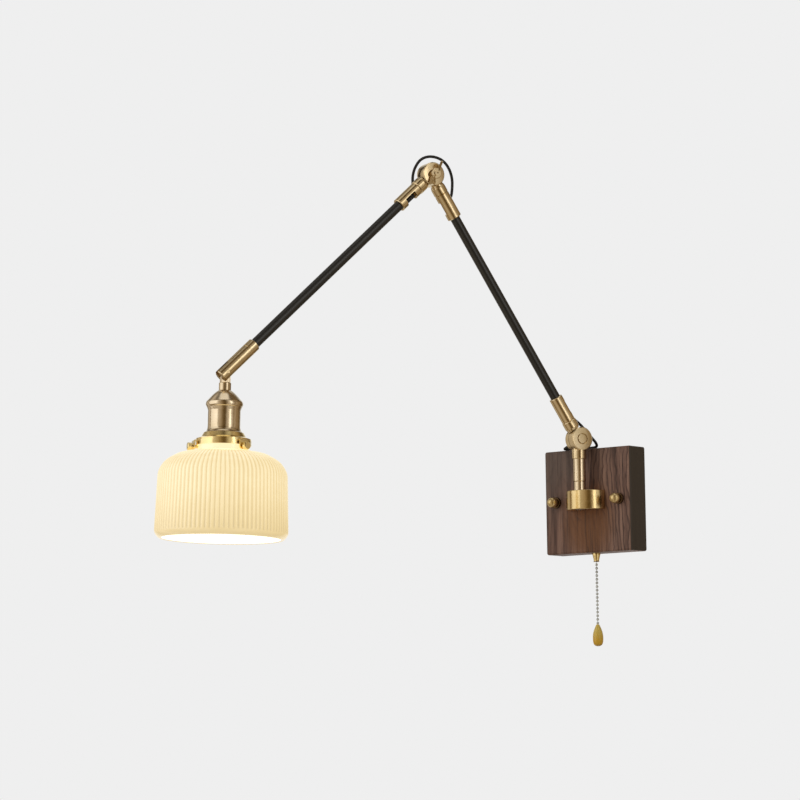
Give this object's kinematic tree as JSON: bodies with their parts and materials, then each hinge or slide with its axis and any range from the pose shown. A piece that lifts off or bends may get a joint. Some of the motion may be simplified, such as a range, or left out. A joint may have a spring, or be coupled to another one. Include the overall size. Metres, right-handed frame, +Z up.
{
  "type": "swing arm wall lamp",
  "caption": "Wall lamp on a wooden block with a pull switch, a swivelling post, hinged brass and black arms and a ribbed porcelain shade that tilts.",
  "frame": {"origin": "on the wall plane, behind the middle of the wooden block", "axes": "+Z up, -Y out of the wall into the room, +X to the right of someone who faces the wall"},
  "size_m": [0.317, 0.5317, 0.5563],
  "materials": {
    "stained_wood": "dark stained open grain, satin oil",
    "lacquered_wood": "golden gloss lacquer",
    "steel": "zinc plated",
    "brass": "antique brushed, clear lacquer",
    "nickel": "nickel plated",
    "black_paint": "satin black",
    "black_rubber": "smooth matt",
    "washer_plastic": "moulded",
    "socket_ceramic": "unglazed",
    "porcelain": "gloss glaze, ribbed, lit from inside",
    "bulb_metal": "rolled thread",
    "lit_glass": "opal, lit"
  },
  "bodies": {
    "base": {"wall_block": "stained_wood", "mounting_strap": "steel", "strap_studs": "steel", "cap_nuts": "brass", "swivel_bracket": "brass", "bracket_nipple": "steel", "bracket_nut": "steel", "swivel_collar": "brass", "swivel_spindle": "steel", "spindle_nut": "steel", "terminal_block": "washer_plastic", "pull_switch": "washer_plastic", "pull_nozzle": "brass", "nozzle_nut": "steel"},
    "pull": {"pull_chain": "nickel", "pull_drop": "lacquered_wood"},
    "post": {"post_tube": "brass", "post_knuckle": "brass", "shoulder_screw": "brass", "shoulder_nut": "steel", "shoulder_washer": "washer_plastic", "shoulder_cable": "black_rubber"},
    "lower_arm": {"lower_knuckle": "brass", "lower_sleeve": "brass", "lower_tube": "black_paint", "lower_top_sleeve": "brass", "lower_top_knuckle": "brass", "lower_bushes": "black_rubber", "lower_wire": "black_rubber", "elbow_washer": "washer_plastic", "elbow_cable": "black_rubber"},
    "wing": {"wing_screw": "brass"},
    "upper_arm": {"upper_knuckle": "brass", "upper_sleeve": "brass", "upper_bush": "black_rubber", "upper_tube": "black_paint", "upper_wire": "black_rubber", "fork_sleeve": "brass", "tilt_pin": "brass"},
    "head": {"head_tongue": "brass", "holder_cap": "brass", "holder_shell": "brass", "socket_core": "socket_ceramic", "screw_shell": "brass", "centre_contact": "brass", "socket_ring": "socket_ceramic", "shade_gallery": "brass", "gallery_screws": "brass", "shade": "porcelain", "bulb_base": "bulb_metal", "bulb_glass": "lit_glass"}
  },
  "joints": [
    {"name": "swivel", "type": "hinge", "parent": "base", "child": "post", "pos_m": [0, -0.045, 0.03], "axis": [0, 0, 1], "range_deg": [-50, 98]},
    {"name": "shoulder", "type": "hinge", "parent": "post", "child": "lower_arm", "pos_m": [0, -0.045, 0.07], "axis": [-0.9135, 0.4067, 0], "range_deg": [-75, 35], "deforming": ["shoulder_cable"]},
    {"name": "elbow", "type": "hinge", "parent": "lower_arm", "child": "upper_arm", "pos_m": [-0.07649, -0.2168, 0.36519], "axis": [-0.9135, 0.4067, 0], "range_deg": [-18, 95], "deforming": ["elbow_cable"]},
    {"name": "tilt", "type": "hinge", "parent": "upper_arm", "child": "head", "pos_m": [-0.1817, -0.4531, 0.12941], "axis": [0.9135, -0.4067, 0], "range_deg": [-110, 60]},
    {"name": "wing_turn", "type": "hinge", "parent": "lower_arm", "child": "wing", "pos_m": [-0.07649, -0.2168, 0.36519], "axis": [0.9135, -0.4067, 0], "range_deg": [-180, 180]},
    {"name": "pull", "type": "slide", "parent": "base", "child": "pull", "axis": [0, 0, -1], "range_m": [0, 0.008], "stiffness_N_per_m": 300}
  ]
}
